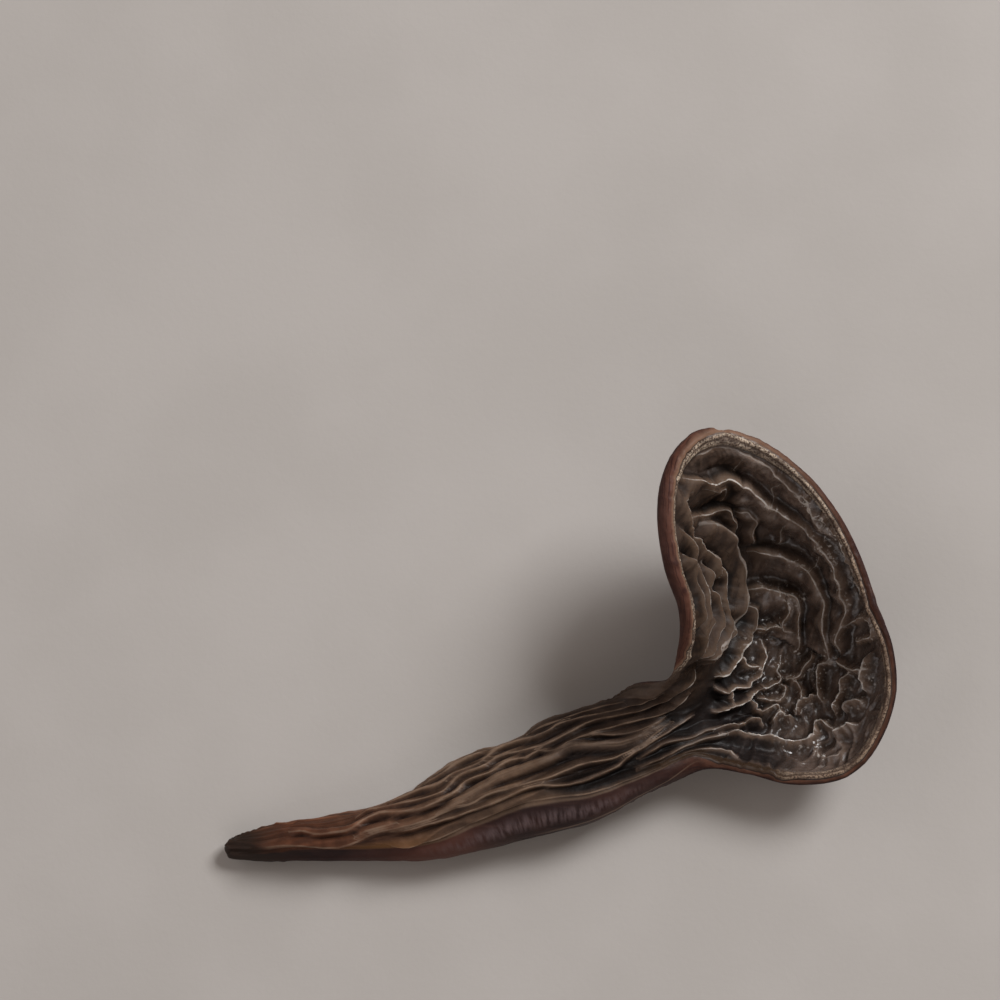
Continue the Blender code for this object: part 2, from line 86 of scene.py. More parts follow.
# Crest lines on the upper face, as points (station, place across). The stalk's run to the tip,
# the cup's run clockwise seen from above, with the margin on their left.
STALK_RIDGES = [
    [(9.3, .02), (9, -.05), (8.6, .04), (8.3, .15), (8, .25), (7.6, .4), (7.4, .53), (7, .6), (6.6, .66),
     (6.3, .57), (6, .47), (5.7, .51), (5.4, .55), (5, .5), (4.7, .47), (4.2, .37), (3.7, .33),
     (3.3, .21)],
    [(8.8, -.18), (8.4, -.02), (8, .18), (7.6, .29), (7.3, .33), (6.9, .27), (6.6, .31), (6.3, .37),
     (6, .33), (5.6, .28), (5.3, .21), (5, .28), (4.7, .23), (4.1, .26), (3.6, .21), (3.3, .16),
     (3, .25), (2.7, .42), (2.4, .5), (2.1, .4), (1.7, .24), (1.2, .15), (.8, .06)],
    [(8.7, -.31), (8.4, -.17), (8, -.08), (7.6, -.1), (7.3, -.2), (7, -.22)],
    [(9.5, -.46), (9, -.49), (8.7, -.39), (8.2, -.3), (7.8, -.28), (7.3, -.26), (6.9, -.22), (6.6, -.15),
     (6.35, -.32), (6.2, -.24), (6, -.35), (5.8, -.34), (5.5, -.27), (5.1, -.32), (4.8, -.14),
     (4.3, -.09), (4, -.11), (3.7, -.25), (3.4, -.38), (3.1, -.31), (2.8, -.1), (2.3, -.08), (2, -.27),
     (1.6, -.56)],
    [(9.9, -.7), (9.5, -.65), (9.2, -.78), (9, -.83), (8.7, -.74), (8.3, -.55), (7.9, -.49), (7.4, -.51),
     (7.1, -.44), (6.6, -.35), (6.3, -.42), (6, -.55), (5.7, -.57), (5.4, -.46), (5, -.46), (4.6, -.3),
     (4.3, -.33), (3.9, -.45), (3.5, -.57), (3.2, -.67), (2.8, -.5)],
    [(9, -1), (8.7, -.98), (8.4, -.83), (8, -.67), (7.6, -.65), (7.2, -.67), (6.9, -.73), (6.6, -.66),
     (6.2, -.78), (5.8, -.77), (5.4, -.6), (4.9, -.57), (4.6, -.51), (4.3, -.62), (3.7, -.7),
     (3.2, -.85)],
    [(8.3, -.95), (7.7, -.86), (7.2, -.84), (6.7, -.88), (6.2, -.96)],
    [(5.9, -.97), (5.4, -.85), (5, -.8), (4.6, -.74), (4.2, -.85)],
    [(9.9, .42), (9.3, .33), (8.8, .37), (8.4, .33), (8, .42), (7.7, .54)],
    [(10.5, .61), (10, .52), (9.5, .49), (9.1, .49), (8.6, .56), (8.2, .65), (7.6, .74)],
    [(9.9, .92), (9.5, .8), (9.1, .76), (8.7, .78), (8.1, .84)],
    [(3.7, .06), (3.1, .06), (2.8, .2)],
    [(9.4, .95), (8.6, .97), (7.8, .98), (7, .98), (6.2, .98), (5.4, .98), (4.6, .96), (3.9, .86),
     (3.2, .74)],
]
STALK_BANDS = [
    [(8.7, -.25), (8.35, -.1), (8, .05), (7.7, .11), (7.4, .08), (7, -.07), (6.8, -.12), (6.5, -.05),
     (6.2, -.03), (5.7, -.05), (5.4, -.02), (5.1, .04), (4.8, .12), (4.5, .2), (4.2, .2)],
]
RIM_TERRACES = [
    [(14.5, -.98), (14.8, -.9), (15.2, -.87), (15.55, -.78), (15.7, -.62), (15.72, -.45), (15.68, -.3),
     (15.6, -.1), (15.5, .1), (15.45, .25)],
]
TERRACES = [
    [(13.8, -.98), (13.95, -.92), (14.1, -.82), (14.3, -.72), (14.7, -.64), (14.85, -.5), (14.9, -.3),
     (15.05, -.15), (15.2, 0), (15.2, .15), (15.05, .3), (14.8, .4), (14.5, .45), (14.1, .48),
     (13.8, .5), (13.6, .47)],
    [(13.4, -.3), (13.9, -.19), (14.2, -.09), (14.45, .03), (14.5, .17), (14.3, .29), (13.9, .36),
     (13.5, .44), (13.2, .42)],
    [(12.5, -.23), (13, -.15), (13.3, -.06), (13.7, .06), (13.85, .13), (13.7, .17), (13.4, .17),
     (13.2, .2), (12.9, .23), (12.5, .21)],
]
DRUMS = [
    [(13.1, -.72), (13.35, -.63), (13.5, -.53), (13.45, -.45), (13.3, -.38), (13.1, -.3), (12.8, -.27),
     (12.4, -.26), (12, -.26), (11.6, -.29), (11.2, -.35)],
]
LOBES = [
    [(13.1, -.82), (13.6, -.62), (14.05, -.5), (13.95, -.43), (13.7, -.38), (13.4, -.3)],
    [(13.8, -.82), (14.2, -.68), (14.45, -.62), (14.35, -.57), (14, -.55)],
    [(14.1, -.46), (14.4, -.38), (14.35, -.3), (14.05, -.27), (13.85, -.22)],
    [(12.4, -.19), (12.6, -.11), (12.5, -.07), (12.2, -.06), (11.8, -.1), (11.3, -.15)],
]
CRUMPLES = [
    [(15.45, -.19), (15.65, -.13), (15.75, -.07), (15.5, -.05), (15.6, .03), (15.75, .1), (15.5, .12)],
    [(15.5, .1), (15.7, .2), (15.75, .32), (15.6, .45)],
    [(15.45, .27), (15.65, .4), (15.6, .52), (15.35, .36)],
    [(15.1, .39), (15.45, .5), (15.55, .62), (15.3, .68)],
    [(14.3, .46), (14.6, .5), (14.9, .6), (14.9, .71), (14.5, .64), (14.2, .52)],
]
CREASES = [
    [(12, .67), (11.8, .77), (11.9, .86), (12.2, .88), (12.4, .83), (12.5, .72)],
    [(15.65, -.28), (15.3, -.33), (15, -.3), (14.8, -.36)],
    [(15.5, -.63), (15.2, -.62), (14.9, -.6)],
    [(14.9, -.18), (14.6, -.16), (14.3, -.1)],
    [(14.9, .1), (14.7, .12), (14.5, .1)],
]
PLEATS = [
    [(13.8, -.84), (13.4, -.93), (13.1, -.88), (12.8, -.82), (12.7, -.7), (12.7, -.5), (12.6, -.42),
     (12.3, -.38), (11.9, -.38), (11.5, -.37), (11.1, -.41), (10.6, -.49), (10.2, -.6), (9.9, -.73)],
    [(12.6, -.66), (12.2, -.59), (11.9, -.58), (11.8, -.49), (11.4, -.47), (11.1, -.51), (10.7, -.56),
     (10.4, -.65), (10, -.79), (9.7, -.82)],
    [(12.9, -.94), (12.4, -.8), (12, -.72), (11.6, -.7), (11.2, -.74), (10.7, -.82), (10.2, -.9),
     (9.6, -.88)],
    [(12.3, -.94), (11.9, -.86), (11.4, -.85), (10.9, -.9), (10.4, -.95)],
    [(12.9, -.53), (12.6, -.5), (12.4, -.44)],
    [(11.5, -.34), (11.1, -.41), (10.7, -.5), (10.3, -.55), (9.9, -.6)],
    [(11.3, -.6), (10.9, -.69), (10.4, -.78), (9.9, -.86)],
    [(12, -.26), (11.6, -.28), (11.2, -.34), (10.7, -.45), (10.3, -.58), (9.9, -.7)],
]
NETS = [
    [(12.3, -.06), (11.8, -.1), (11.3, -.15), (11, -.14), (10.7, -.16), (10.3, -.23), (9.9, -.32)],
    [(11, -.14), (11.1, -.05), (11.2, .02), (11.5, .1)],
    [(12.4, 0), (12.2, .03), (11.9, .08), (11.5, .1), (11.1, .09), (10.5, .03), (10.1, -.08),
     (9.7, -.26)],
    [(13.8, .06), (13.5, .08), (13.2, .08), (12.9, .08), (12.9, .12), (13.2, .19)],
    [(12.2, -.06), (12.5, .01), (12.9, .08)],
    [(12.4, .17), (12, .21), (11.8, .24), (11.2, .19), (10.6, .15), (9.9, .13), (9.3, .02)],
    [(13.3, .33), (13.1, .34), (12.7, .33), (12.4, .32), (12.1, .27), (11.9, .25)],
    [(13.6, .48), (13.3, .42), (13, .42), (12.8, .45), (12.7, .5), (12.6, .56)],
    [(13.6, .47), (13.7, .55), (13.8, .62), (14.1, .73), (14.3, .79)],
    [(13.8, .62), (13.5, .61), (13.3, .62), (13, .62), (12.7, .67)],
    [(14.5, .7), (14.2, .76), (13.9, .78), (13.7, .82)],
    [(13, .72), (13.2, .7), (13.4, .74), (13.6, .82)],
    [(11.8, .5), (12, .45), (12.4, .47), (12.7, .5)],
    [(10.9, .47), (11.1, .44), (11.4, .42), (11.5, .47), (11.8, .5)],
    [(9.3, .35), (9.9, .42), (10.2, .39), (10.5, .43), (10.9, .47)],
    [(9.3, .45), (9.8, .52), (10.1, .57), (10.6, .62), (11.2, .65), (11.7, .69), (12, .67), (12.2, .61),
     (12.3, .63), (12.5, .71), (12.7, .67)],
    [(12.4, .77), (12.8, .79), (13.1, .84)],
    [(10.7, .18), (10.6, .27), (10.9, .36), (11.3, .36), (11.5, .42)],
    [(11.9, .25), (11.9, .32), (11.6, .34), (11.2, .28), (10.8, .21)],
    [(12.1, .27), (12.3, .34), (12.3, .4), (12, .45)],
    [(10.2, -.03), (10, .05), (10.1, .13)],
]
FOLD_GROUPS = [
    (STALK_RIDGES, STALK_RIDGE),
    (STALK_BANDS, STALK_BAND),
    (RIM_TERRACES, RIM_TERRACE),
    (TERRACES, TERRACE),
    (DRUMS, DRUM),
    (LOBES, LOBE),
    (CRUMPLES, CRUMPLE),
    (CREASES, CREASE),
    (PLEATS, PLEAT),
    (NETS, NET),
]
MERGE_POWER = 4  # folds that meet merge by this power, so the higher one wins softly
SWELL = 0.26  # how unevenly high a fold runs
CREST_STEP = 0.4  # spacing of the points read along a crest line
TAPER_SHARE = 0.2  # a fold rises from nothing at each end, over this share of its length
TAPERS = (0.9, 4.5)  # but no shorter and no longer than this
PUCKER = 0.8  # spacing of the gathers on a fold's flanks
SHIVER = 0.35  # how far the line of a fully gathered fold shivers
CREST_MARK_WIDTH = 0.12  # the width of a crest's painted highlight line, or this share of its rounding where that is more
CREST_MARK_SHARE = 1.2
NO_CREST = 9.0  # the distance given to places with no crest near
OFF_CRESTS = {"crest": 0, "crest_width": 1, "crest_gap": NO_CREST, "crest_side": NO_CREST}
GATHER = 0.45  # mesh points nearer than this to a crest draw in towards it, which sharpens it
FOLD_SEAT, FAR_SEAT = 0.6, 1.2  # how deep the ground between the folds lies, and at the far rim
# How often values are blurred along and across the face: how strong the crests' painted highlights are,
# the normals, and the heights round a place, which its own is compared with.
CREST_BLUR, NORMAL_BLUR = (2, 5), (8, 8)
CUP_HEIGHT_BLUR, STALK_HEIGHT_BLUR = (14, 14), (2, 110)
OUTWARD_BLUR = 8  # and how often, along the lip, the way out of it

# The margin's places are measured inwards from the inner border of the reddish lip band, which
# lies this far out from the upper face's border, at these stations on the left and on the right.
# The crust just inside it has two grainy lines with a furrow between them, and is narrower on
# the left lobe than on the right.
BAND_STATIONS = (8, 9, 10, 11, 12, 14, 15, 16)
BAND_OUT_LEFT = (4.0, 2.4, 0.9, 0.4, 0.2, 0.2, 0.6, 1.2)
BAND_OUT_RIGHT = (0.3, 0.6, 1.0, 1.1, 1.2, 1.2, 1.1, 1.0)
CRUST_STARTS = (8.9, 10.3)  # stations where the crust begins on the left and on the right
CRUST_GROWTH = 1.3  # and after so many more it is whole
LEFT_CRUST, RIGHT_CRUST = 0.6, 1.35  # its width as a share
TOP_CRUST = 1.5  # and at the far rim
GROOVE_AT, GROOVE_WIDTH, GROOVE_DEPTH = 0.12, 0.16, 0.28
CRUST_LINES = (0.45, 1.1)
CRUST_WIDTH, CRUST_HEIGHT = 0.22, 0.16
FOLDS_FROM, FOLDS_WHOLE = 1.4, 2.3  # inside the crust the folds rise between these places
STALK_FOLDS_FROM, STALK_FOLDS_WHOLE = -0.7, 0.2  # and where there is no crust between these

# Fields of small ridges: their height, their cells' size along and across, noise seed and
# sharpness. The stalk's two add up to 1.
Ridges = namedtuple("Ridges", "height cells seed sharpness")
BROAD_RIDGES = Ridges(0.75, (24, 1.35), 6, 1.3)
STRANDS = Ridges(0.25, (12, 0.6), 7, 1.3)
NET_WRINKLES = Ridges(0.6, (3.4, 3), 3, 2.6)
FAR_WRINKLES = Ridges(0.3, (9, 1.9), 5, 3)
LEFT_WRINKLES = Ridges(0.32, (8, 1.2), 20, 2)
OUTER_FURROWS = Ridges(0.42, (14, 3), 10, 1.6)
OUTER_CREASES = Ridges(0.12, (5, 1.1), 11, 1.4)
STALK_RELIEF = 0.5  # how high the stalk's two are together on the upper face
FAINT_NET = 0.25  # the net's share of its height away from the right wall
OUTER_LEVEL = 0.8  # the outer face lies where its ridges have this share of their height

LEFT_WALL_END = 13.9  # the cup's left wall ends at this station
LEDGE_LENGTH = 1.1  # and near the margin it goes on, with a ledge, for this many more
WALL_BORDER = (0.1, -0.02)  # its border's place across, low in the cup and high up
SATIN_ENDS = (11.3, 10.3)  # the stalk and the neck are satin up to here, the cup beyond is glossy
SATIN_RAGGED = 0.3  # how uneven the border between satin and glossy is
NO_MARGIN = -10  # the mark of the margin on the outer face, far from all of its colours
LIP_RELIEF_LIFT = 0.5  # the lip is marked as this much higher than it is, for its colours

# The mesh: steps along and across the upper face and round the lip. The outer face has half as
# many each way. Steps crowd towards the margins by CROWD.
STEPS_ALONG = 280
STEPS_ACROSS = 236
STEPS_ROUND_LIP = 12
FINE_FROM = 7.4  # from this station on the steps along are finer
STALK_SHARE = 0.24  # and this share of them lies before it
CROWD = 0.4


def spline(rows, station):
    """Catmull-Rom curve through rows, read at each station."""
    rows = np.asarray(rows, float)
    padded = np.vstack([2 * rows[0] - rows[1], rows, 2 * rows[-1] - rows[-2]])
    first = np.clip(np.floor(station).astype(int), 0, len(rows) - 2)
    t = (station - first)[..., None]
    a, b, c, d = (padded[first + k] for k in range(4))
    return 0.5 * (
        2 * b
        + (c - a) * t
        + (2 * a - 5 * b + 4 * c - d) * t**2
        + (3 * b - a - 3 * c + d) * t**3
    )


def upper_face(station, across):
    """Points of the smooth upper face."""
    left, middle, right = (spline([s[k] for s in SECTIONS], station) for k in range(3))
    v = across[..., None]
    sideways = v * (1 - ROUNDNESS) + np.sin(np.pi / 2 * v) * ROUNDNESS
    rise = v * v * (1 - ROUNDNESS) + (1 - np.cos(np.pi / 2 * v)) * ROUNDNESS
    lift = np.concatenate([sideways**2, sideways**2, rise], axis=-1)
    return middle + ((left + right) / 2 - middle) * lift + (right - left) / 2 * sideways


def smoothstep(x):
    x = np.clip(x, 0, 1)
    return x * x * (3 - 2 * x)


def eased(x, start, end):
    """0 before start, 1 beyond end, and eased between them. The end may be the lower one."""
    return smoothstep((x - start) / (end - start))


def between(first, second, share):
    return first + (second - first) * share


def bell(x, at, width):
    return np.exp(-(((x - at) / width) ** 2))


def unit(vectors):
    return vectors / np.maximum(np.linalg.norm(vectors, axis=-1, keepdims=True), 1e-9)


def blurred(grid, times_along, times_across):
    """The grid's values averaged with their neighbours', so many times each way."""
    for axis, times in enumerate((times_along, times_across)):
        for _ in range(times):
            pad = [(1, 1) if k == axis else (0, 0) for k in range(grid.ndim)]
            wide = np.pad(grid, pad, mode="edge")
            count = grid.shape[axis]
            before = np.take(wide, range(count), axis)
            after = np.take(wide, range(2, count + 2), axis)
            grid = (before + 2 * grid + after) / 4
    return grid


def noise_at(places, seed):
    """Smooth repeatable noise, about -1 to 1, at places given as (..., 2) or (..., 3)."""
    flat = places.reshape(-1, places.shape[-1])
    if flat.shape[1] == 2:
        flat = np.column_stack([flat, np.zeros(len(flat))])
    flat = flat + np.array([17.3, 5.1, 9.7]) * seed
    values = np.fromiter((noise.noise(p) for p in flat.tolist()), float, len(flat))
    return values.reshape(places.shape[:-1]) * 1.6


def noise_vectors(places, *seeds):
    return np.stack([noise_at(places, seed) for seed in seeds], axis=-1)


def ridged(places, form, level=0):
    """Noise folded into sharp ridges. The level is the share of their height where 0 lies."""
    folded = 1 - np.abs(noise_at(places / np.array(form.cells), form.seed))
    return (folded.clip(0, 1) ** form.sharpness - level) * form.height


# Where points lie beside a line: the gap to it, the way there, the line's direction at the
# nearest place, and the length run along the line up to it.
Beside = namedtuple("Beside", "gap way travel run")


def beside_line(points, line):
    beside = Beside(
        np.full(len(points), np.inf),
        np.zeros_like(points),
        np.zeros_like(points),
        np.zeros(len(points)),
    )
    passed = 0.0
    for start, end in zip(line[:-1], line[1:]):
        step = end - start
        length = np.linalg.norm(step)
        share = np.clip((points - start) @ step / length**2, 0, 1)
        way = start + share[:, None] * step - points
        gap = np.linalg.norm(way, axis=-1)
        nearer = gap < beside.gap
        beside.gap[nearer] = gap[nearer]
        beside.way[nearer] = way[nearer]
        beside.travel[nearer] = step / length
        beside.run[nearer] = passed + share[nearer] * length
        passed += length
    return beside, passed


def near_line(points, line, reach):
    """Which points lie within reach of the line's box, to spare the others the long sum."""
    low, high = line.min(0) - reach, line.max(0) + reach
    return np.all((points > low) & (points < high), axis=-1)


def crest_line(fold, form):
    """A fold's crest as points on the upper face, closely spaced on a smooth wavering curve."""
    rough = upper_face(*np.array(fold).T)
    length = np.linalg.norm(np.diff(rough, axis=0), axis=1).sum()
    count = max(5, int(length / CREST_STEP))
    path = spline(fold, np.linspace(0, len(fold) - 1, count))
    line = upper_face(path[:, 0], np.clip(path[:, 1], -1, 1))
    sway = noise_vectors(line / 1.7, 21, 22, 23)
    shiver = noise_vectors(line / 0.8, 24, 25, 26)
    return line + sway * form.waver + shiver * SHIVER * form.gathers


class Face:
    """The upper face while it is worked: its grid of places, points, normals and masks."""

    def __init__(self):
        share = np.linspace(0, 1, STEPS_ALONG + 1)
        stations = np.interp(share, [0, STALK_SHARE, 1], [0, FINE_FROM, LAST_STATION])
        even = np.linspace(-1, 1, STEPS_ACROSS + 1)
        across = even * (1 - CROWD) + np.sin(np.pi / 2 * even) * CROWD
        self.station, self.across = np.meshgrid(stations, across, indexing="ij")
        self.smooth = upper_face(self.station, self.across)
        along_way = unit(np.gradient(self.smooth, axis=0))
        across_way = unit(np.gradient(self.smooth, axis=1))
        self.normals = unit(blurred(unit(np.cross(across_way, along_way)), *NORMAL_BLUR))
        self.stalk = eased(self.station, *CUP_OPENS[::-1])
        crust_start = np.interp(self.across, (-1, 1), CRUST_STARTS)
        self.crusted = eased(self.station, crust_start, crust_start + CRUST_GROWTH)
        end = LEFT_WALL_END + LEDGE_LENGTH * eased(self.across, -0.45, -0.65)
        border = between(*WALL_BORDER, eased(self.station, 12.4, 13.2))
        near = eased(self.station, end + 0.8, end)
        self.left_wall = eased(self.across, border, border - 0.23) * near
        self.satin = np.maximum(self.left_wall, eased(self.station, *SATIN_ENDS))
        self.flat = self.unrolled()
        edge = edge_ring(self.smooth)
        ring = np.vstack([edge, edge[:1]])[::3]
        gap = beside_line(self.smooth.reshape(-1, 3), ring)[0].gap.reshape(self.station.shape)
        self.margin = margin_place(self.station, self.across, gap)

    def unrolled(self):
        """Millimetres along the face's middle and across from it, as if it lay flat."""
        middle = self.smooth[:, STEPS_ACROSS // 2]
        along = np.concatenate([[0], np.cumsum(np.linalg.norm(np.diff(middle, axis=0), axis=1))])
        steps = np.linalg.norm(np.diff(self.smooth, axis=1), axis=2)
        across = np.concatenate([np.zeros((len(steps), 1)), np.cumsum(steps, axis=1)], axis=1)
        across -= across[:, STEPS_ACROSS // 2][:, None]
        return np.stack([along[:, None] + 0 * across, across], axis=-1)


def margin_place(station, across, inwards):
    """Place at the margin, from the length inwards from the upper face's border."""
    rightness = smoothstep((across + 1) / 2)
    left_out = np.interp(station, BAND_STATIONS, BAND_OUT_LEFT)
    right_out = np.interp(station, BAND_STATIONS, BAND_OUT_RIGHT)
    out = between(left_out, right_out, rightness)
    width = between(LEFT_CRUST, RIGHT_CRUST, rightness)
    top = eased(station, 13.2, 15.2) * (1 - rightness)
    return (inwards + out) / between(width, TOP_CRUST, top)


def edge_ring(grid):
    """A grid's border values in order: left side, far side, right side back, near side back."""
    return np.concatenate([grid[:-1, 0], grid[-1, :-1], grid[:0:-1, -1], grid[0, :0:-1]])


def flank_profile(gap, reach, bow):
    """Height share down a fold's flank, from 1 on the crest to 0 at its reach."""
    x = np.clip(gap / reach, 0, 1)
    return (1 - x) * (1 - x + 2 * bow * x)


def main_folds(face):
    """The drawn folds: their heights, lean and drawing-in, and the marks of the nearest crest.

    The marks are how strong that crest's painted highlight is, how wide that line is, and the
    distance to it, once plain and once with a sign that changes across the crest.
    """
    shape = face.station.shape
    total = np.zeros(shape)
    marks = {
        "crest": np.zeros(shape),
        "crest_width": np.full(shape, CREST_MARK_WIDTH),
        "crest_gap": np.full(shape, NO_CREST),
        "crest_side": np.full(shape, NO_CREST),
    }
    lean = np.zeros(shape + (3,))
    draw = np.zeros(shape + (3,))
    nearest = np.full(shape, np.inf)
    cup_swell = noise_at(face.smooth / 2.6, 13) * (1 - face.stalk)
    stalk_swell = noise_at(face.flat / np.array([9.0, 1.6]), 13) * face.stalk
    swell = 1 + SWELL * (cup_swell + stalk_swell)
    for lines, form in FOLD_GROUPS:
        for fold in lines:
            line = crest_line(fold, form)
            close = near_line(face.smooth, line, max(form.left_reach, form.right_reach))
            beside, length = beside_line(face.smooth[close], line)
            normals = face.normals[close]
            to_left = np.cross(normals, beside.travel)
            on_left = np.einsum("ij,ij->i", to_left, beside.way) < 0
            drawn = np.where(beside.gap < GATHER, beside.gap**2 / GATHER, beside.gap)
            top = np.hypot(drawn, form.crest) - form.crest
            share = np.where(
                on_left,
                flank_profile(top, form.left_reach, form.left_bow),
                flank_profile(top, form.right_reach, form.right_bow),
            )
            places = np.stack([beside.run / PUCKER, beside.gap / 3.0], axis=-1)
            pucker = form.gathers * noise_at(places, length) * 4 * share * (1 - share)
            share = share * (1 + pucker)
            taper = np.clip(TAPER_SHARE * length, *TAPERS)
            end = smoothstep(np.minimum(beside.run, length - beside.run) / taper)
            power = (form.height * share * end * swell[close]) ** MERGE_POWER
            total[close] += power
            lean[close] += to_left * (form.lean * power)[:, None]
            nearer = (beside.gap < nearest[close]) & (end > 0.2)
            pull = beside.way * (1 - drawn / np.maximum(beside.gap, 1e-6))[:, None]
            draw[close] = np.where(nearer[:, None], pull, draw[close])
            own = {
                "crest": form.tint * end,
                "crest_width": max(CREST_MARK_WIDTH, CREST_MARK_SHARE * form.crest),
                "crest_gap": drawn,
                "crest_side": np.where(on_left, drawn, -drawn),
            }
            for name, values in own.items():
                marks[name][close] = np.where(nearer, values, marks[name][close])
            nearest[close] = np.where(nearer, beside.gap, nearest[close])
    height = total ** (1 / MERGE_POWER)
    lean = lean / np.maximum(total, 1e-12)[..., None]
    return height, lean, draw, marks


def lengthwise_ridges(flat):
    """Ridges along the stalk, about -1 to 0, at unrolled places."""
    sway = np.stack([0 * flat[..., 0], noise_at(flat / np.array([7.0, 5.0]), 14)], axis=-1)
    place = flat + sway * 0.8
    return ridged(place, BROAD_RIDGES) + ridged(place, STRANDS) - 1


def small_wrinkles(face):
    """Heights of the wrinkles between the drawn folds."""
    place = face.flat + noise_vectors(face.flat / 2.6, 1, 2) * 0.9
    right = eased(face.across, -0.05, 0.25) * eased(face.station, 9.3, 10.8)
    far = eased(face.station, 13.2, 14.2)
    left = eased(face.across, -0.25, -0.5) * (1 - far)
    net = ridged(place, NET_WRINKLES) * between(FAINT_NET, 1, right * (1 - far))
    cross = ridged(place, FAR_WRINKLES) * far + ridged(place, LEFT_WRINKLES) * left
    near_crust = eased(face.margin, 6.5, 3.5)
    crinkled = smoothstep(noise_at(face.flat / 4.0, 18) * 1.2 + 0.3) * near_crust * (1 - left)
    fine = noise_at(place / 1.1, 4) * (0.06 + 0.14 * crinkled)
    stalk_height = (lengthwise_ridges(face.flat) + 0.6) * STALK_RELIEF
    return between(np.maximum(net, cross) + fine, stalk_height, face.stalk)


def margin_relief(points, margin):
    """The groove and the grainy double crust along the margin of the cup."""
    grain = noise_at(points / 0.3, 8) * 0.7 + noise_at(points / 1.5, 9) * 0.5
    lines = sum(bell(margin, at, CRUST_WIDTH) for at in CRUST_LINES)
    crust = lines * CRUST_HEIGHT * (0.8 + 0.8 * grain)
    ragged = margin + 0.12 * noise_at(points / 0.9, 17)
    return crust - bell(ragged, GROOVE_AT, GROOVE_WIDTH) * GROOVE_DEPTH


def folded_face(face):
    """The upper face's points with all their relief, and the marks that colour them."""
    main, lean, draw, marks = main_folds(face)
    small = small_wrinkles(face)
    height = main + small * (1 - 0.6 * smoothstep(main / 2.0))
    start = between(STALK_FOLDS_FROM, FOLDS_FROM, face.crusted)
    end = between(STALK_FOLDS_WHOLE, FOLDS_WHOLE, face.crusted)
    fade = eased(face.margin, start, end)
    seat = between(FOLD_SEAT, FAR_SEAT, eased(face.station, 14.2, 15))
    lift = (height - seat) * fade + margin_relief(face.smooth, face.margin) * face.crusted
    points = face.smooth + draw * fade[..., None]
    points = points + face.normals * lift[..., None] + lean * (main * fade)[..., None]
    height = height * fade
    marks["crest"] = blurred(marks["crest"], *CREST_BLUR) * fade
    around_cup, around_stalk = blurred(height, *CUP_HEIGHT_BLUR), blurred(height, *STALK_HEIGHT_BLUR)
    marks["relief"] = height - between(around_cup, around_stalk, face.stalk)
    return points, marks


def flesh_thickness(station, across):
    """Thickness below each point: the flesh in the middle, easing to each margin's lip."""
    rows = spline([(s.flesh, s.left_lip, s.right_lip) for s in SECTIONS], station)
    lip = np.where(across < 0, rows[..., 1], rows[..., 2])
    return between(rows[..., 0], lip, smoothstep(np.abs(across)))


def outer_face(face):
    """The outer face, one thickness below the smooth upper one, furrowed lengthwise."""
    up = np.array([0.0, 0.0, 1.0])
    hang = STALK_HANG * eased(face.station, *HANG_ENDS)
    away = unit(face.normals * (1 - hang[..., None]) + up * hang[..., None])
    depth = flesh_thickness(face.station, face.across)
    inside = eased(np.abs(face.across), 1, 0.88)
    inside = inside * eased(face.station, LAST_STATION, LAST_STATION - 0.6)
    furrows, creases = (ridged(face.flat, f, OUTER_LEVEL) for f in (OUTER_FURROWS, OUTER_CREASES))
    depth = depth + (furrows + creases) * inside
    outer = face.smooth - away * depth[..., None]
    outer[..., 2] = np.maximum(outer[..., 2], 0)
    return outer


def lip_bulge(station, across):
    """How far the lip stands out, read on the upper face's border."""
    flank = spline([(s.flank,) for s in SECTIONS], station)[..., 0]
    return between(LIP_BULGE, flank, smoothstep((across + 1) / 2))


class Lip:
    """The strip round the margin, from the upper face's border to just before the outer's."""

    def __init__(self, face, inner, outer):
        self.station, self.across = edge_ring(face.station), edge_ring(face.across)
        self.stalk, self.crusted = edge_ring(face.stalk), edge_ring(face.crusted)
        flat = edge_ring(face.flat)
        side = np.stack([0 * self.across, np.sign(self.across)], axis=-1)
        middle = (inner + outer) / 2
        half = (inner - outer) / 2
        along = np.roll(inner, -1, axis=0) - np.roll(inner, 1, axis=0)
        outward = unit(np.cross(half, along))
        for _ in range(OUTWARD_BLUR):
            outward = unit(np.roll(outward, 1, axis=0) + 2 * outward + np.roll(outward, -1, axis=0))
        bulge = lip_bulge(self.station, self.across)
        self.rows, self.relief, self.turn, self.margin = [], [], [], []
        before, arc = inner, np.zeros(len(inner))
        for step in range(1, STEPS_ROUND_LIP):
            share = step / STEPS_ROUND_LIP
            turn = np.pi * share
            row = middle + half * np.cos(turn) + (bulge * np.sin(turn))[:, None] * outward
            arc = arc + np.linalg.norm(row - before, axis=-1)
            before = row
            away = unit(unit(half) * np.cos(turn) + outward * np.sin(turn))
            margin = margin_place(self.station, self.across, -arc)
            relief = self.relief_at(row, flat + side * arc[:, None])
            crust = margin_relief(row, margin) * self.crusted
            row = row + away * (relief * np.sin(turn) + crust)[:, None]
            row[:, 2] = np.maximum(row[:, 2], 0)
            self.rows.append(row)
            self.relief.append(relief)
            self.turn.append(np.full(len(row), share))
            self.margin.append(margin)

    def relief_at(self, row, flat):
        """Ridges over the stalk's left side, slight furrows on its right, an uneven cup lip."""
        left = eased(self.across, 0.2, -0.4)
        ridges = lengthwise_ridges(flat) * (0.25 + 0.75 * left)
        uneven = 0.16 * noise_at(row / 2.6, 12) + 0.09 * noise_at(row / 0.8, 15) - 0.16
        return between(uneven, ridges, self.stalk)


def grid_faces(ids):
    """Four-sided faces of a grid of point numbers, facing out of the upper side."""
    corners = (ids[:-1, :-1], ids[:-1, 1:], ids[1:, 1:], ids[1:, :-1])
    return np.stack(corners, axis=-1).reshape(-1, 4)


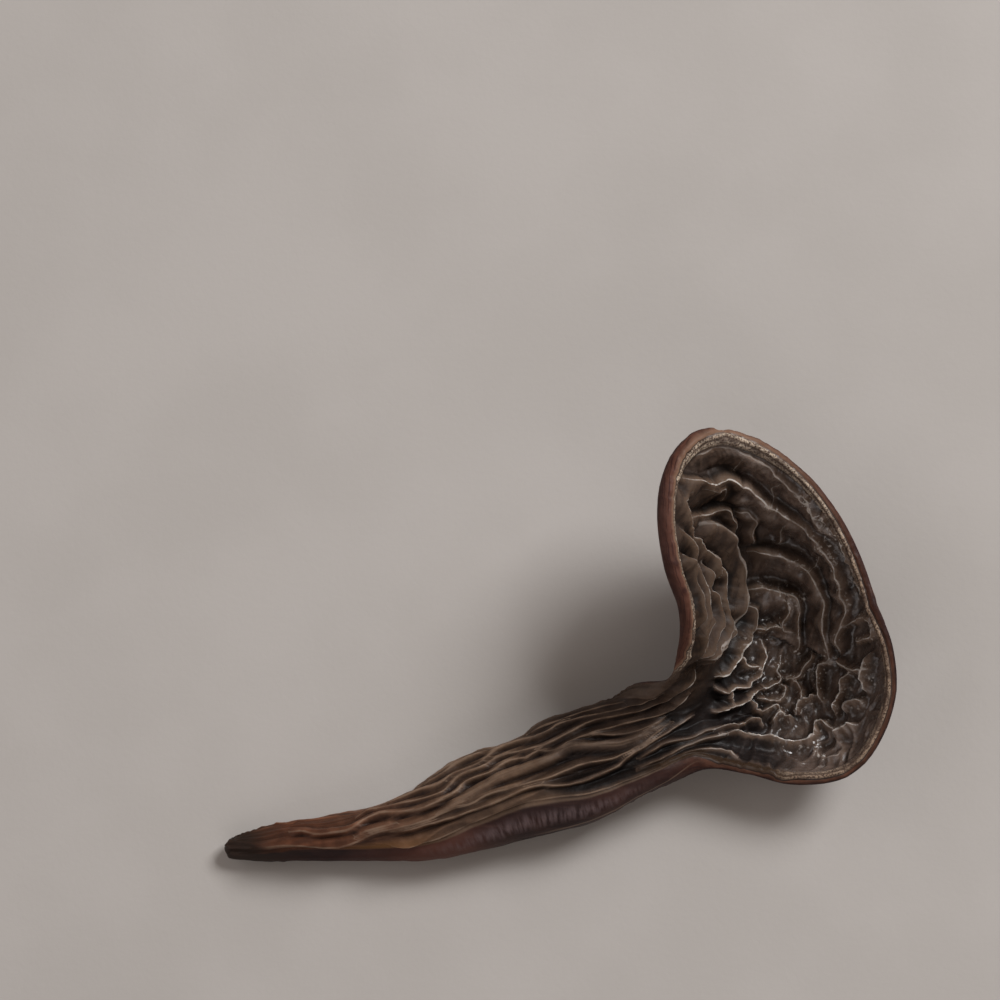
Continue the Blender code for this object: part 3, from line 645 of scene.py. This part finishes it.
def lip_faces(rings, last):
    """Faces between rings of equal size, then to the last ring, which has half as many points."""
    fours = []
    for near, far in zip(rings[:-1], rings[1:]):
        fours.append(np.stack([near, np.roll(near, -1), np.roll(far, -1), far], axis=-1))
    near = rings[-1]
    first, second, third = near[0::2], near[1::2], np.roll(near, -2)[0::2]
    start, end = last, np.roll(last, -1)
    threes = [(first, second, start), (second, end, start), (second, third, end)]
    return np.vstack(fours), np.vstack([np.stack(t, axis=-1) for t in threes])


def add_mark(mesh, name, values):
    attribute = mesh.attributes.new(name, "FLOAT", "POINT")
    attribute.data.foreach_set("value", np.concatenate(values).astype(np.float32))


def body_mesh():
    """The closed body as a Blender mesh in metres, with its colouring marks as attributes."""
    face = Face()
    upper, marks = folded_face(face)
    outer = outer_face(face)
    lip = Lip(face, edge_ring(upper), edge_ring(outer))
    half_outer = outer[::2, ::2]
    points = np.vstack([upper.reshape(-1, 3), *lip.rows, half_outer.reshape(-1, 3)])
    upper_ids = np.arange(face.station.size).reshape(face.station.shape)
    size, row_count = len(lip.rows[0]), len(lip.rows)
    row_ids = [face.station.size + k * size + np.arange(size) for k in range(row_count)]
    start = face.station.size + size * row_count
    outer_ids = start + np.arange(half_outer[..., 0].size).reshape(half_outer.shape[:2])
    fours, threes = lip_faces([edge_ring(upper_ids), *row_ids], edge_ring(outer_ids))
    faces = [*grid_faces(upper_ids).tolist(), *grid_faces(outer_ids)[:, ::-1].tolist()]
    skin_start = STEPS_ALONG * STEPS_ACROSS
    faces += [*fours.tolist(), *threes.tolist()]

    mesh = bpy.data.meshes.new("fruiting_body_skin")
    mesh.from_pydata((points * METRES_PER_MM).tolist(), [], faces)
    none_below = np.zeros(half_outer[..., 0].size)
    for name in ("station", "across", "crusted", "left_wall", "satin"):
        grid = getattr(face, name)
        add_mark(mesh, name, [grid.ravel(), *[edge_ring(grid)] * row_count, grid[::2, ::2].ravel()])
    for name, off in OFF_CRESTS.items():
        off_crest = [0 * lip.station + off] * row_count
        add_mark(mesh, name, [marks[name].ravel(), *off_crest, none_below + off])
    add_mark(mesh, "margin", [face.margin.ravel(), *lip.margin, none_below + NO_MARGIN])
    lip_relief = [relief + LIP_RELIEF_LIFT for relief in lip.relief]
    add_mark(mesh, "relief", [marks["relief"].ravel(), *lip_relief, none_below])
    add_mark(mesh, "round_lip", [0 * face.station.ravel(), *lip.turn, none_below + 1])
    slots = np.full(len(faces), SKIN_SLOT, np.int32)
    satin = face.satin + SATIN_RAGGED * noise_at(face.smooth / 2.5, 19) > 0.5
    slots[:skin_start] = np.where(satin[:-1, :-1].ravel(), SATIN_SLOT, GLOSSY_SLOT)
    mesh.polygons.foreach_set("material_index", slots)
    mesh.shade_smooth()
    mesh.update()
    return mesh


# Materials. Colours are linear.


class Nodes:
    """A short way to build a material's node tree.

    Where a value is fed in, a string stands for the mesh's mark of that name.
    """

    def __init__(self, name):
        self.material = bpy.data.materials.new(name)
        self.material.use_nodes = True
        self.tree = self.material.node_tree

    def node(self, kind, inputs, output, **settings):
        """Adds a node, sets it up, feeds its inputs, and gives its output."""
        node = self.tree.nodes.new("ShaderNode" + kind)
        for name, value in settings.items():
            setattr(node, name, value)
        for name, value in inputs.items():
            if value is not None:
                self.feed(node.inputs[name], value)
        return node.outputs[output]

    def feed(self, target, value):
        """Sets a socket to a number, colour or vector, or joins a mark or a node's output to it."""
        if isinstance(value, str):
            value = self.node("Attribute", {}, "Fac", attribute_name=value)
        if isinstance(value, (int, float)):
            target.default_value = value
        elif isinstance(value, tuple):
            target.default_value = (*value, 1)[: len(target.default_value)]
        else:
            self.tree.links.new(value, target)

    def shade(self, **inputs):
        """Feeds the shader, whose inputs are named with _ for a space."""
        shader = self.tree.nodes["Principled BSDF"]
        for name, value in inputs.items():
            self.feed(shader.inputs[name.replace("_", " ")], value)

    def noise(self, scale, detail, turn=0, stretch=(1, 1, 1)):
        """Noise over the object's own coordinates, scale in cells per metre."""
        place = self.node("TexCoord", {}, "Object")
        mapping = {"Vector": place, "Rotation": (0, 0, turn), "Scale": stretch}
        place = self.node("Mapping", mapping, "Vector")
        return self.node("TexNoise", {"Vector": place, "Scale": scale, "Detail": detail}, "Fac")

    def noise_over(self, detail, **cells):
        """Noise over the mesh's own marks, each with its cells per unit."""
        scaled = {axis: self.product(*mark) for axis, mark in enumerate(cells.items())}
        place = self.node("CombineXYZ", scaled, "Vector")
        return self.node("TexNoise", {"Vector": place, "Scale": 1, "Detail": detail}, "Fac")

    def spread(self, value, low, high, to_low=0, to_high=1):
        """value from low..high to to_low..to_high, eased and clamped."""
        inputs = {"Value": value, "From Min": low, "From Max": high, "To Min": to_low, "To Max": to_high}
        return self.node("MapRange", inputs, "Result", interpolation_type="SMOOTHSTEP")

    def zone(self, **marks):
        """1 where every mark has passed from its first number to its second, and 0 before.

        With four numbers it is 0 again beyond the last.
        """
        shares = [self.spread(name, *ends[:2]) for name, ends in marks.items()]
        shares += [self.spread(name, *ends[:1:-1]) for name, ends in marks.items() if len(ends) > 2]
        return self.product(*shares)

    def maths(self, operation, first, second=0):
        return self.node("Math", {0: first, 1: second}, "Value", operation=operation)

    def product(self, first, *others):
        for other in others:
            first = self.maths("MULTIPLY", first, other)
        return first

    def peak(self, value, at, width):
        """1 where value equals at, falling to 0 a width away."""
        away = self.maths("ABSOLUTE", self.maths("SUBTRACT", value, at))
        return self.spread(away, width, 0)

    def uneven(self, value, pattern, amount):
        """value with a noise pattern added, up to amount each way."""
        return self.maths("ADD", value, self.spread(pattern, 0.3, 0.7, -amount, amount))

    def ramp(self, value, stops):
        """The colour at value, between stops given as (position, colour)."""
        colour = self.node("ValToRGB", {"Fac": value}, "Color")
        elements = colour.node.color_ramp.elements
        while len(elements) < len(stops):
            elements.new(0.5)
        for element, (position, tone) in zip(elements, stops):
            element.position = position
            element.color = (*tone, 1)
        return colour

    def blend(self, factor, first, second, mode="MIX"):
        inputs = {0: factor, 6: first, 7: second}
        return self.node("Mix", inputs, 2, data_type="RGBA", blend_type=mode)

    def tinge(self, factor, colour, tinge):
        """colour multiplied by tinge, as far as factor says."""
        return self.blend(factor, colour, self.blend(1, colour, tinge, "MULTIPLY"))

    def bump(self, height, distance, strength, normal=None):
        inputs = {"Height": height, "Distance": distance, "Strength": strength, "Normal": normal}
        return self.node("Bump", inputs, "Normal")


# painted shade at the base of each fold's steep side
JELLY_FOOT_SHADE = (0.01, 0.0065, 0.005)
JELLY_DARK = (0.02, 0.013, 0.0115)
JELLY_MID = (0.11, 0.076, 0.06)
JELLY_LIGHT = (0.2, 0.145, 0.116)
JELLY_TOP = (0.3, 0.235, 0.195)
# painted glow: warm light as if passing through the thin crests
JELLY_GLOW = (0.19, 0.125, 0.085)
# painted highlight: the colour of the glints along the cup's crests and of the pale specks
JELLY_GLINT = (0.68, 0.63, 0.58)
# by relief: partly the jelly's own browns, partly painted shade in the hollows and painted light on the
# tops
JELLY_STOPS = [(0, JELLY_DARK), (0.4, JELLY_MID), (0.62, JELLY_LIGHT), (1, JELLY_TOP)]
LEFT_WALL_TONE_AND_SHADE = (0.34, 0.29, 0.24)  # the left wall is a warmer brown, and darker by painted shade where it faces the light
LOW_LEFT_SHADE = (0.52, 0.48, 0.44)  # and darker still by painted shade where it meets the neck
NECK_SHADE = (0.16, 0.16, 0.18)  # painted shade: the neck's panels are darkened nearly to black
TAN_CRUST = (0.58, 0.47, 0.36)
RIGHT_CRUST_TAN = (0.38, 0.28, 0.2)
CRUST_SHADE = (0.06, 0.034, 0.024)
GROOVE_BROWN = (0.018, 0.008, 0.006)
MARGIN_BROWN = (0.04, 0.022, 0.012)
STALK_GROOVE = (0.017, 0.0095, 0.0072)
STALK_MID = (0.075, 0.044, 0.028)
STALK_HIGH = (0.135, 0.083, 0.053)
STALK_TOP = (0.24, 0.165, 0.115)
# by relief: partly the stalk's own tans, partly painted shade in the grooves
STALK_STOPS = [(0, STALK_GROOVE), (0.45, STALK_MID), (0.72, STALK_HIGH), (1, STALK_TOP)]
UPPER_STALK_TINGE = (0.4, 0.4, 0.43)  # the stalk's upper half is dark between its crests
TIP_TINGE = (1, 0.6, 0.46)  # the stalk turns redder towards its tip
TIP_DARK = (0.02, 0.012, 0.008)
AMBER = (0.3, 0.15, 0.055)
SKIN_DARK = (0.02, 0.0065, 0.006)
SKIN_MID = (0.043, 0.0155, 0.012)
SKIN_RUST = (0.085, 0.031, 0.02)
SKIN_LIGHT = (0.11, 0.052, 0.036)
SKIN_STOPS = [(0.3, SKIN_DARK), (0.55, SKIN_MID), (0.8, SKIN_RUST)]
FLANK_RED = (0.115, 0.04, 0.026)
FLANK_TINGE = (0.58, 0.6, 0.66)  # the flank is darker along the stalk's upper half
# partly the skin's greyish bloom, partly a painted highlight
BLOOM_AND_SHEEN = (0.17, 0.118, 0.118)
LIP_BROWN = (0.105, 0.041, 0.026)
LIP_SHADE = (0.042, 0.013, 0.009)
LIP_EDGE = (0.26, 0.155, 0.1)
RIGHT_LIP_TINGE = (0.72, 0.62, 0.56)  # the lip is darker on the right
FAR_LIP_TINGE = (0.6, 0.52, 0.5)  # and darker still along the far rim
FLOOR_TONES = (0.465, 0.437, 0.408), (0.49, 0.461, 0.432)
RIGHT_FLANK = (0.8, 0.95)  # places across between which the stalk's right flank begins

# Each material of the flesh: how strong its coat, its highlights and its grain are.
Gloss = namedtuple("Gloss", "coat specular grain")
GLOSSES = {
    "glossy_upper_face": Gloss(0.15, 0.55, 0.75),
    "outer_skin": Gloss(0.03, 0.2, 0.5),
    "satin_stalk_and_wall": Gloss(0.03, 0.16, 0.5),
}
GLOSSY_SLOT, SKIN_SLOT, SATIN_SLOT = range(3)
GLOSSY_ROUGHNESS = (0.12, 0.36)  # in patches, from one to the other
SATIN_ROUGHNESS = (0.55, 0.55, 0.55)
DULL_ROUGHNESS = (0.68, 0.68, 0.68)


def crest_glint_lines(m):
    """Thin sharp pale lines on the folds' crests, where the signed distance passes through zero: painted
    highlights, on the stalk also the crests' tan.
    """
    side = m.maths("DIVIDE", m.maths("ABSOLUTE", "crest_side"), "crest_width")
    beyond = m.maths("SUBTRACT", "crest_gap", "crest_width")
    return m.product(m.spread(side, 1.2, 0.4), m.spread(beyond, 0.3, 0.15), "crest")


def glint_flecks(m):
    """Short pale specks of painted highlight, glints that gather in patches near the crests on the right
    and far walls.
    """
    fine = m.spread(m.noise(1500, 3), 0.57, 0.67)
    patches = m.spread(m.noise(210, 3), 0.46, 0.58)
    near = m.spread("crest_gap", 1.6, 0.5, 0.15, 1)
    return m.product(fine, patches, near, m.zone(station=(10.5, 12), across=(-0.25, 0)), 0.8)


def neck_shade_share(m):
    """Where painted shade darkens the neck: 1 on its panels, between its crests. On the right they reach
    down the stalk.
    """
    reaching = m.maths("ADD", "station", m.spread("across", 0.25, 0.55, 0, 2))
    gaps = m.maths("MAXIMUM", m.spread("crest_gap", 0.15, 0.6, 0.1, 1), m.spread("crest", 0.5, 0.15))
    neck = m.zone(station=(12, 10.4), across=(-0.45, -0.15, 0.85, 0.98))
    return m.product(m.spread(reaching, 7.8, 8.8), neck, gaps)


def smooth_margin(m):
    """The smooth brown band inside the right margin, before the crust begins."""
    return m.zone(margin=(1.7, 1.2), across=(0.6, 0.8), station=(7.6, 8.6, 10.8, 11.8))


def jelly_colour(m):
    """The cup's inner face: dark brown panels, grooves darker and tops paler by relief as painted shade
    and light, with a painted glow and thin painted highlights on the crests.
    """
    creases = m.noise_over(3, across=34, station=0.9)  # they run square to the terraces
    relief = m.uneven(m.uneven("relief", m.noise(260, 5), 0.14), creases, 0.12)
    # On the left wall the relief's painted shade and light are stronger.
    relief = m.product(relief, m.spread("left_wall", 0, 1, 1, 1.6))
    jelly = m.ramp(m.spread(relief, -0.65, 0.85), JELLY_STOPS)
    # Painted shade darkens the left wall, which also turns a warmer brown, and more so low down by the
    # neck.
    jelly = m.tinge("left_wall", jelly, LEFT_WALL_TONE_AND_SHADE)
    jelly = m.tinge(m.zone(left_wall=(0, 1), station=(12.9, 11.4)), jelly, LOW_LEFT_SHADE)
    jelly = m.blend(m.spread(m.noise(95, 3), 0.35, 0.65, 0, 0.45), jelly, JELLY_MID)
    # Painted shade along the base of each fold's steep side, strongest on the left wall.
    foot_shade = m.product(m.peak("crest_side", 0.85, 0.55), m.spread("left_wall", 0, 1, 0.25, 0.8))
    jelly = m.blend(m.product(foot_shade, m.spread("crest", 0, 0.3)), jelly, JELLY_FOOT_SHADE)
    # A painted glow beside the crests, as of light through their thin membranes.
    glow = m.product(m.spread("crest_gap", 1, 0.1, 0, 0.6), "crest")
    jelly = m.blend(glow, jelly, JELLY_GLOW)
    jelly = m.blend(glint_flecks(m), jelly, JELLY_GLINT)
    broken = m.spread(m.noise(450, 3), 0.36, 0.60, 0.3, 1)
    return m.blend(m.product(crest_glint_lines(m), broken), jelly, JELLY_GLINT)


def stalk_colour(m):
    """The stalk's tan ridges and grooves darkened with painted shade, redder and darker towards its tip.
    """
    relief = m.uneven("relief", m.noise(420, 4), 0.08)
    stalk = m.ramp(m.spread(relief, -0.55, 0.6), STALK_STOPS)
    stalk = m.tinge(m.spread("station", 5.8, 6.8, 0, 0.9), stalk, UPPER_STALK_TINGE)
    stalk = m.tinge(m.spread("station", 5.4, 1.6), stalk, TIP_TINGE)
    amber = m.product(m.peak("station", 3.3, 1.2), m.spread("across", 0.5, 0.9, 0, 0.6))
    stalk = m.blend(amber, stalk, AMBER)
    # Pale crest lines on the stalk: the ridges' tan tops, partly painted highlight.
    broken = m.spread(m.noise(330, 4), 0.34, 0.6, 0.25, 0.9)
    stalk = m.blend(m.product(crest_glint_lines(m), broken), stalk, STALK_TOP)
    return m.blend(m.spread("station", 1.9, 0.7, 0, 0.92), stalk, TIP_DARK)


def crust_share(m):
    """Where the grainy crust lies: in the cup, just inside the lip."""
    return m.product(m.zone(margin=(0.15, 0.3, 1.3, 1.6)), "crusted")


def crust_colour(m):
    """Tan grains in two lines, with a brown furrow between them."""
    fine = m.spread(m.noise(3600, 2), 0.34, 0.60)
    coarse = m.spread(m.noise(420, 4), 0.36, 0.6, 0.25, 1)
    furrow = m.product(m.peak("margin", sum(CRUST_LINES) / 2, 0.32), 0.8)
    grains = m.product(fine, coarse, m.maths("SUBTRACT", 1, furrow))
    tan = m.blend(m.spread("across", 0.1, 0.7), TAN_CRUST, RIGHT_CRUST_TAN)
    return m.blend(grains, CRUST_SHADE, tan)


def lip_colour(m):
    """The streaky reddish-brown lip, paler at its inner border, with painted shade over its outer side.
    """
    streaks = m.noise_over(4, station=1.6, margin=2.6)
    shade = m.maths("MAXIMUM", m.spread(streaks, 0.48, 0.66), m.spread(m.noise(330, 5), 0.5, 0.68))
    lip = m.blend(shade, LIP_BROWN, LIP_SHADE)
    edge = m.product(m.spread("margin", -1.2, 0), m.spread("across", -0.3, 0.5, 0.75, 0.25))
    lip = m.blend(edge, lip, LIP_EDGE)
    lip = m.tinge(m.spread("across", 0, 0.7), lip, RIGHT_LIP_TINGE)
    lip = m.tinge(m.zone(station=(13.8, 15.4), across=(-0.8, 0)), lip, FAR_LIP_TINGE)
    # Painted shade over the lip's outer side, deepening away from the upper face.
    return m.blend(m.spread("margin", -1.2, -3.6, 0, 0.6), lip, SKIN_DARK)


def skin_colour(m):
    """The outer skin, mottled reddish brown with fine lengthwise fibres, and the lip."""
    skin = m.ramp(m.noise(130, 6), SKIN_STOPS)
    fibre = m.noise(900, 5, turn=0.45, stretch=(0.12, 1, 1))
    skin = m.blend(m.spread(fibre, 0.45, 0.7, 0, 0.4), skin, SKIN_LIGHT)
    low_end = m.product(m.peak("station", 4.1, 1.6), m.spread("across", 0.5, 0.9, 0, 0.7))
    skin = m.blend(low_end, skin, FLANK_RED)
    skin = m.tinge(m.zone(station=(4.4, 5.8), across=RIGHT_FLANK), skin, FLANK_TINGE)
    # Violet-grey strokes on the flank: partly bloom, partly painted highlight.
    skin = m.blend(flank_bloom_and_sheen(m), skin, BLOOM_AND_SHEEN)
    skin = m.blend(m.spread("station", 2.2, 1, 0, 0.9), skin, TIP_DARK)
    skin = m.blend(m.zone(round_lip=(0.85, 0.6), station=(7.8, 9.6)), skin, lip_colour(m))
    return m.blend(flank_lines(m), skin, STALK_TOP)


def flank_bloom_and_sheen(m):
    """A broken violet-grey band along the stalk's right flank: partly the skin's greyish bloom, partly a
    painted highlight.
    """
    strokes = m.spread(m.noise_over(5, station=14, round_lip=5), 0.30, 0.70)
    here = m.zone(station=(3.6, 5.2, 6.6, 8.4), across=RIGHT_FLANK)
    return m.product(strokes, here, m.peak("round_lip", 0.18, 0.12), 0.75)


def flank_lines(m):
    """The tan line along the top of the stalk's flank and a second one lower down."""
    here = m.zone(across=RIGHT_FLANK, station=(9.2, 8.2))
    top = m.product(m.spread("round_lip", 0.05, 0.02), m.spread("station", 3.2, 4.4, 0, 0.85))
    low = m.product(m.peak("round_lip", 0.36, 0.035), m.spread("station", 5.6, 6.6, 0, 0.5))
    return m.product(m.maths("MAXIMUM", top, low), here)


def ridged_share(m):
    """Where the stalk's ridges run on over its left side."""
    return m.zone(across=(0.3, -0.3), round_lip=(0.8, 0.55), station=(9.6, 8.6))


def skin_share(m):
    """1 on the lip band and the outer skin, 0 on the upper face, with a sharp border."""
    in_cup = m.spread("margin", 0.08, -0.02)
    on_stalk = m.spread("round_lip", 0, 0.06)
    return m.blend(m.spread("station", 8, 9), on_stalk, in_cup)


def flesh_material(name, gloss):
    """The whole body's colours and roughness. The three made here differ only in their gloss."""
    m = Nodes(name)
    stalk = stalk_colour(m)
    face = m.blend(m.spread("station", 8.2, 10.4), stalk, jelly_colour(m))
    # Painted shade on the neck's panels, between its steep ridges.
    face = m.tinge(neck_shade_share(m), face, NECK_SHADE)
    face = m.blend(smooth_margin(m), face, MARGIN_BROWN)
    crusted = crust_share(m)
    face = m.blend(crusted, face, crust_colour(m))
    skin = m.blend(ridged_share(m), skin_colour(m), stalk)
    on_skin = skin_share(m)
    colour = m.blend(on_skin, face, skin)
    cup = m.spread("station", 8, 9.4)
    fainter = m.spread("across", -0.6, 0.3, 0.35, 1)
    groove = m.product(m.peak("margin", GROOVE_AT, GROOVE_WIDTH), cup, fainter)
    patchy = m.spread(m.noise(600, 4), 0.35, 0.65, *GLOSSY_ROUGHNESS)
    rough = m.blend("satin", patchy, SATIN_ROUGHNESS)
    dull = m.maths("MAXIMUM", crusted, m.product(on_skin, cup))
    grain = m.bump(m.noise(2200, 4), 0.00008, 0.6)
    m.shade(
        Base_Color=m.blend(groove, colour, GROOVE_BROWN),
        Roughness=m.blend(dull, rough, DULL_ROUGHNESS),
        Specular_IOR_Level=gloss.specular,
        Coat_Weight=gloss.coat,
        Coat_Roughness=0.18,
        Subsurface_Weight=0.12,
        Subsurface_Radius=(1, 0.6, 0.4),
        Subsurface_Scale=0.0015,
        Normal=m.bump(m.noise(700, 4), 0.0003, gloss.grain, grain),
    )
    return m.material


def floor_material():
    """Plain pale paper-like floor with a faint tooth."""
    m = Nodes("pale_floor")
    m.shade(
        Base_Color=m.blend(m.spread(m.noise(30, 6), 0.35, 0.65), *FLOOR_TONES),
        Roughness=0.9,
        Normal=m.bump(m.noise(900, 6), 0.0001, 0.35),
    )
    return m.material


def mushroom():
    mesh = body_mesh()
    for name, gloss in GLOSSES.items():
        mesh.materials.append(flesh_material(name, gloss))
    piece = bpy.data.objects.new("wood_ear", mesh)
    bpy.context.scene.collection.objects.link(piece)
    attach(piece, "root")
    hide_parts("fruiting_body")
    return piece


# The surroundings. Lengths here are metres.

FLOOR_SIZE = 4
VIEW_CENTRE = Vector((-0.0424, 0.0227, 0))  # where the view's middle meets the floor
VIEW_ELEVATION = math.radians(80)
VIEW_DISTANCE = 0.65
SENSOR_MM, LENS_MM = 36, 146.25
LIT_PLACE = Vector((-0.03, 0, 0))
# A window to the upper right, and pale walls to the left and in front.
Light = namedtuple("Light", "name place size watts colour")
LIGHTS = [
    Light("window", (0.64, 0.60, 0.86), (0.50, 0.48), 13.4, (0.985, 0.985, 1)),
    Light("left_wall", (-0.85, 0.15, 0.55), (1, 0.7), 2, (0.98, 0.96, 1)),
    Light("front_wall", (-0.05, -0.82, 0.60), (1, 0.6), 1.6, (1, 0.96, 0.98)),
]
FILL_COLOUR, FILL_STRENGTH = (1, 0.82, 0.68, 1), 0.15


def floor():
    bpy.ops.mesh.primitive_plane_add(size=FLOOR_SIZE)
    plane = bpy.context.object
    plane.name = "floor"
    plane.data.materials.append(floor_material())


def aim(thing, target):
    thing.rotation_euler = (target - thing.location).to_track_quat("-Z", "Y").to_euler()


def camera():
    data = bpy.data.cameras.new("camera")
    data.sensor_width = SENSOR_MM
    data.lens = LENS_MM
    view = bpy.data.objects.new("camera", data)
    bpy.context.scene.collection.objects.link(view)
    back = Vector((0, -math.cos(VIEW_ELEVATION), math.sin(VIEW_ELEVATION)))
    view.location = VIEW_CENTRE + back * VIEW_DISTANCE
    aim(view, VIEW_CENTRE)
    bpy.context.scene.camera = view


def area_light(light):
    data = bpy.data.lights.new(light.name, "AREA")
    data.shape = "RECTANGLE"
    data.size, data.size_y = light.size
    data.energy = light.watts
    data.color = light.colour
    lamp = bpy.data.objects.new(light.name, data)
    bpy.context.scene.collection.objects.link(lamp)
    lamp.location = light.place
    aim(lamp, LIT_PLACE)


def lighting():
    """The area lights and a faint warm fill from all round."""
    for light in LIGHTS:
        area_light(light)
    world = bpy.data.worlds.new("fill")
    bpy.context.scene.world = world
    world.use_nodes = True
    background = world.node_tree.nodes["Background"]
    background.inputs["Color"].default_value = FILL_COLOUR
    background.inputs["Strength"].default_value = FILL_STRENGTH
    bpy.context.scene.view_settings.view_transform = "Standard"


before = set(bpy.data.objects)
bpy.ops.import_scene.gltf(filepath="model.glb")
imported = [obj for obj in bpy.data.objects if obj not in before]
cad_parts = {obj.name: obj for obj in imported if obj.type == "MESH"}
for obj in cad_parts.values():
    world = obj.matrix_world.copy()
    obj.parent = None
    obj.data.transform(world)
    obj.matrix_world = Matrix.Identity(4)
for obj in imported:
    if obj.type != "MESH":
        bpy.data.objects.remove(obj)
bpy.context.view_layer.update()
camera()
lighting()
floor()
mushroom()
